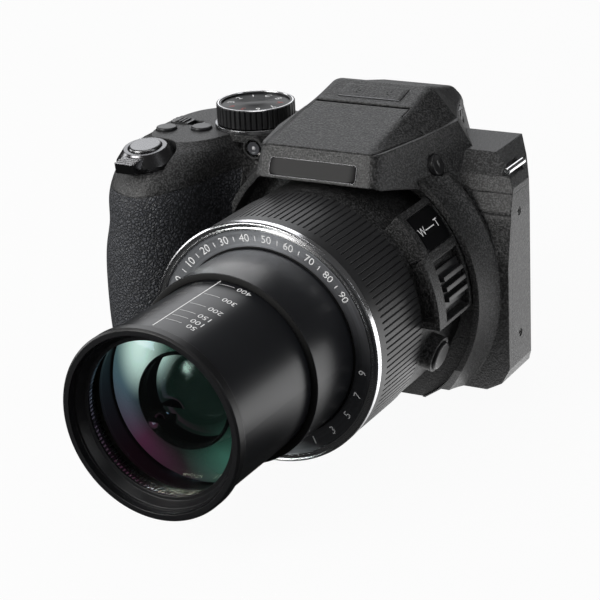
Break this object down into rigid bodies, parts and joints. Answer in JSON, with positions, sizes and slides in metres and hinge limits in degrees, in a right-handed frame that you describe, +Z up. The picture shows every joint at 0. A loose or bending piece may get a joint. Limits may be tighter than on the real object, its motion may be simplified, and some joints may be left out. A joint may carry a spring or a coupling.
{
  "type": "bridge camera",
  "caption": "Bridge camera with its zoom lens run out: deep grip, mode dial, pop-up flash in the hump, electronic eyepiece and fixed screen.",
  "frame": {"origin": "mouth of the tripod socket in the base, under the lens axis", "axes": "-Y is the way the lens looks, +Z is up, the grip is at -X and the side lever of the lens at +X"},
  "size_m": [0.1237, 0.1596, 0.0859],
  "materials": {
    "body_plastic": "fine pebbled matt",
    "grip_rubber": "leather grain",
    "eyecup_rubber": "matt",
    "barrel_satin": "satin",
    "ribbed_plastic": "matt ribs",
    "front_rim_satin": "satin black",
    "trim_chrome": "polished edges",
    "gunmetal": "satin",
    "front_coated_glass": "coated",
    "inner_glass": "clear",
    "lens_group_black": "matt",
    "base_metal": "plain",
    "motor_steel": "brushed",
    "sensor_package": "plain",
    "circuit_board": "lacquered",
    "screen_glass": "gloss",
    "screen_module": "gloss",
    "dial_plastic": "grooved edge",
    "dial_foot_metal": "satin",
    "control_plastic": "satin",
    "zoom_ring_metal": "satin",
    "shutter_metal": "satin",
    "flash_lens": "ribbed",
    "lamp_lens": "clear",
    "pin_steel": "plain",
    "strap_metal": "polished",
    "screw_black": "blackened",
    "tray_plastic": "plain",
    "cell_jacket": "plain jacket"
  },
  "bodies": {
    "camera_body": {"front_cover": "body_plastic", "rear_cover": "body_plastic", "top_cover": "body_plastic", "bottom_cover": "body_plastic", "grip_skin": "grip_rubber", "af_lamp_lens": "lamp_lens", "fixed_barrel": "barrel_satin", "ribbed_sleeve": "ribbed_plastic", "barrel_collar": "body_plastic", "trim_ring": "trim_chrome", "name_ring": "gunmetal", "rear_lens_group": "lens_group_black", "rear_glass": "inner_glass", "lens_base_plate": "base_metal", "zoom_motor": "motor_steel", "image_sensor": "sensor_package", "sensor_plate": "base_metal", "chassis": "base_metal", "main_board": "circuit_board", "screen_window": "screen_glass", "screen_panel": "screen_module", "mode_dial_foot": "dial_foot_metal", "hinge_pins": "pin_steel", "eyepiece_frame": "lens_group_black", "eyepiece_lens": "inner_glass", "eyecup": "eyecup_rubber", "finder_unit": "lens_group_black", "battery_tray": "tray_plastic", "battery_cells": "cell_jacket", "port_board": "circuit_board", "tripod_socket": "pin_steel", "case_screws": "screw_black", "strap_bars": "strap_metal"},
    "zoom_stage_one": {"zoom_stage_one": "barrel_satin"},
    "zoom_stage_two": {"zoom_stage_two": "barrel_satin", "front_rim": "front_rim_satin", "front_glass": "front_coated_glass", "second_glass": "inner_glass"},
    "flash_head": {"flash_head": "body_plastic", "flash_window": "flash_lens"},
    "mode_dial": {"mode_dial": "dial_plastic"},
    "command_wheel": {"command_wheel": "dial_plastic"},
    "diopter_wheel": {"diopter_wheel": "dial_plastic"},
    "power_switch": {"power_switch": "control_plastic"},
    "zoom_lever": {"zoom_lever": "zoom_ring_metal"},
    "shutter_button": {"shutter_button": "shutter_metal"},
    "burst_button": {"burst_button": "control_plastic"},
    "exposure_button": {"exposure_button": "control_plastic"},
    "flash_button": {"flash_button": "control_plastic"},
    "side_zoom_lever": {"side_zoom_lever": "control_plastic"},
    "instant_zoom_button": {"instant_zoom_button": "control_plastic"},
    "selector_pad": {"selector_pad": "control_plastic"},
    "menu_button": {"menu_button": "control_plastic"},
    "playback_button": {"playback_button": "control_plastic"},
    "movie_button": {"movie_button": "control_plastic"},
    "back_button": {"back_button": "control_plastic"},
    "display_button": {"display_button": "control_plastic"},
    "battery_door": {"battery_door": "body_plastic"},
    "battery_latch": {"battery_latch": "control_plastic"},
    "port_cover": {"port_cover": "body_plastic"}
  },
  "joints": [
    {"name": "zoom_stage_one_slide", "type": "slide", "parent": "camera_body", "child": "zoom_stage_one", "axis": [0, -1, 0], "range_m": [-0.018, 0]},
    {"name": "zoom_stage_two_slide", "type": "slide", "parent": "zoom_stage_one", "child": "zoom_stage_two", "axis": [0, -1, 0], "range_m": [-0.034, 0]},
    {"name": "mode_dial_turn", "type": "hinge", "parent": "camera_body", "child": "mode_dial", "pos_m": [-0.0407, 0.0044, 0.072], "axis": [0, 0, 1], "continuous": true},
    {"name": "command_wheel_turn", "type": "hinge", "parent": "camera_body", "child": "command_wheel", "pos_m": [-0.0646, 0.011, 0.0648], "axis": [0, 0, 1], "continuous": true},
    {"name": "diopter_turn", "type": "hinge", "parent": "camera_body", "child": "diopter_wheel", "pos_m": [0.0148, 0.017, 0.0748], "axis": [0, 0, 1], "range_deg": [-150, 150]},
    {"name": "power_switch_slide", "type": "slide", "parent": "camera_body", "child": "power_switch", "axis": [1, 0, 0], "range_m": [0, 0.003]},
    {"name": "zoom_lever_turn", "type": "hinge", "parent": "camera_body", "child": "zoom_lever", "pos_m": [-0.0601, -0.026, 0.0659], "axis": [0, -0.1392, 0.9903], "range_deg": [-20, 20], "stiffness_Nm_per_rad": 0.02},
    {"name": "shutter_press", "type": "slide", "parent": "camera_body", "child": "shutter_button", "axis": [0, 0.1392, -0.9903], "range_m": [0, 0.001], "stiffness_N_per_m": 400, "springref_m": -0.0003},
    {"name": "burst_press", "type": "slide", "parent": "camera_body", "child": "burst_button", "axis": [0, 0, -1], "range_m": [0, 0.0007], "stiffness_N_per_m": 400, "springref_m": -0.0003},
    {"name": "exposure_press", "type": "slide", "parent": "camera_body", "child": "exposure_button", "axis": [0, 0, -1], "range_m": [0, 0.0007], "stiffness_N_per_m": 400, "springref_m": -0.0003},
    {"name": "flash_button_press", "type": "slide", "parent": "camera_body", "child": "flash_button", "axis": [-0.9404, 0, -0.3402], "range_m": [0, 0.0007], "stiffness_N_per_m": 400, "springref_m": -0.0003},
    {"name": "side_zoom_turn", "type": "hinge", "parent": "camera_body", "child": "side_zoom_lever", "pos_m": [0, -0.029, 0.034], "axis": [0, 1, 0], "range_deg": [-3, 3], "stiffness_Nm_per_rad": 0.02},
    {"name": "instant_zoom_press", "type": "slide", "parent": "camera_body", "child": "instant_zoom_button", "axis": [-0.9563, 0, 0.2924], "range_m": [0, 0.0008], "stiffness_N_per_m": 400, "springref_m": -0.0003},
    {"name": "selector_rock", "type": "hinge", "parent": "camera_body", "child": "selector_pad", "pos_m": [-0.0495, 0.0196, 0.029], "axis": [1, 0, 0], "range_deg": [-2, 2], "stiffness_Nm_per_rad": 0.02},
    {"name": "menu_press", "type": "slide", "parent": "camera_body", "child": "menu_button", "axis": [0, -1, 0], "range_m": [0, 0.0006], "stiffness_N_per_m": 400, "springref_m": -0.0003},
    {"name": "playback_press", "type": "slide", "parent": "camera_body", "child": "playback_button", "axis": [0, -1, 0], "range_m": [0, 0.0006], "stiffness_N_per_m": 400, "springref_m": -0.0003},
    {"name": "movie_press", "type": "slide", "parent": "camera_body", "child": "movie_button", "axis": [0, -1, 0], "range_m": [0, 0.0006], "stiffness_N_per_m": 400, "springref_m": -0.0003},
    {"name": "back_press", "type": "slide", "parent": "camera_body", "child": "back_button", "axis": [0, -1, 0], "range_m": [0, 0.0006], "stiffness_N_per_m": 400, "springref_m": -0.0003},
    {"name": "display_press", "type": "slide", "parent": "camera_body", "child": "display_button", "axis": [0, -1, 0], "range_m": [0, 0.0006], "stiffness_N_per_m": 400, "springref_m": -0.0003},
    {"name": "flash_hinge", "type": "hinge", "parent": "camera_body", "child": "flash_head", "pos_m": [0, -0.0065, 0.0796], "axis": [-1, 0, 0], "range_deg": [0, 50]},
    {"name": "battery_door_hinge", "type": "hinge", "parent": "camera_body", "child": "battery_door", "pos_m": [-0.061, 0.0078, 0.0011], "axis": [1, 0, 0], "range_deg": [0, 95]},
    {"name": "battery_latch_slide", "type": "slide", "parent": "battery_door", "child": "battery_latch", "axis": [0, -1, 0], "range_m": [0, 0.0025]},
    {"name": "port_cover_hinge", "type": "hinge", "parent": "camera_body", "child": "port_cover", "pos_m": [-0.07635, 0.00625, 0.025], "axis": [0, 0, 1], "range_deg": [0, 100]}
  ],
  "couplings": [
    {"joint": "zoom_stage_two_slide", "follows": "zoom_stage_one_slide", "ratio": 1.8889}
  ]
}
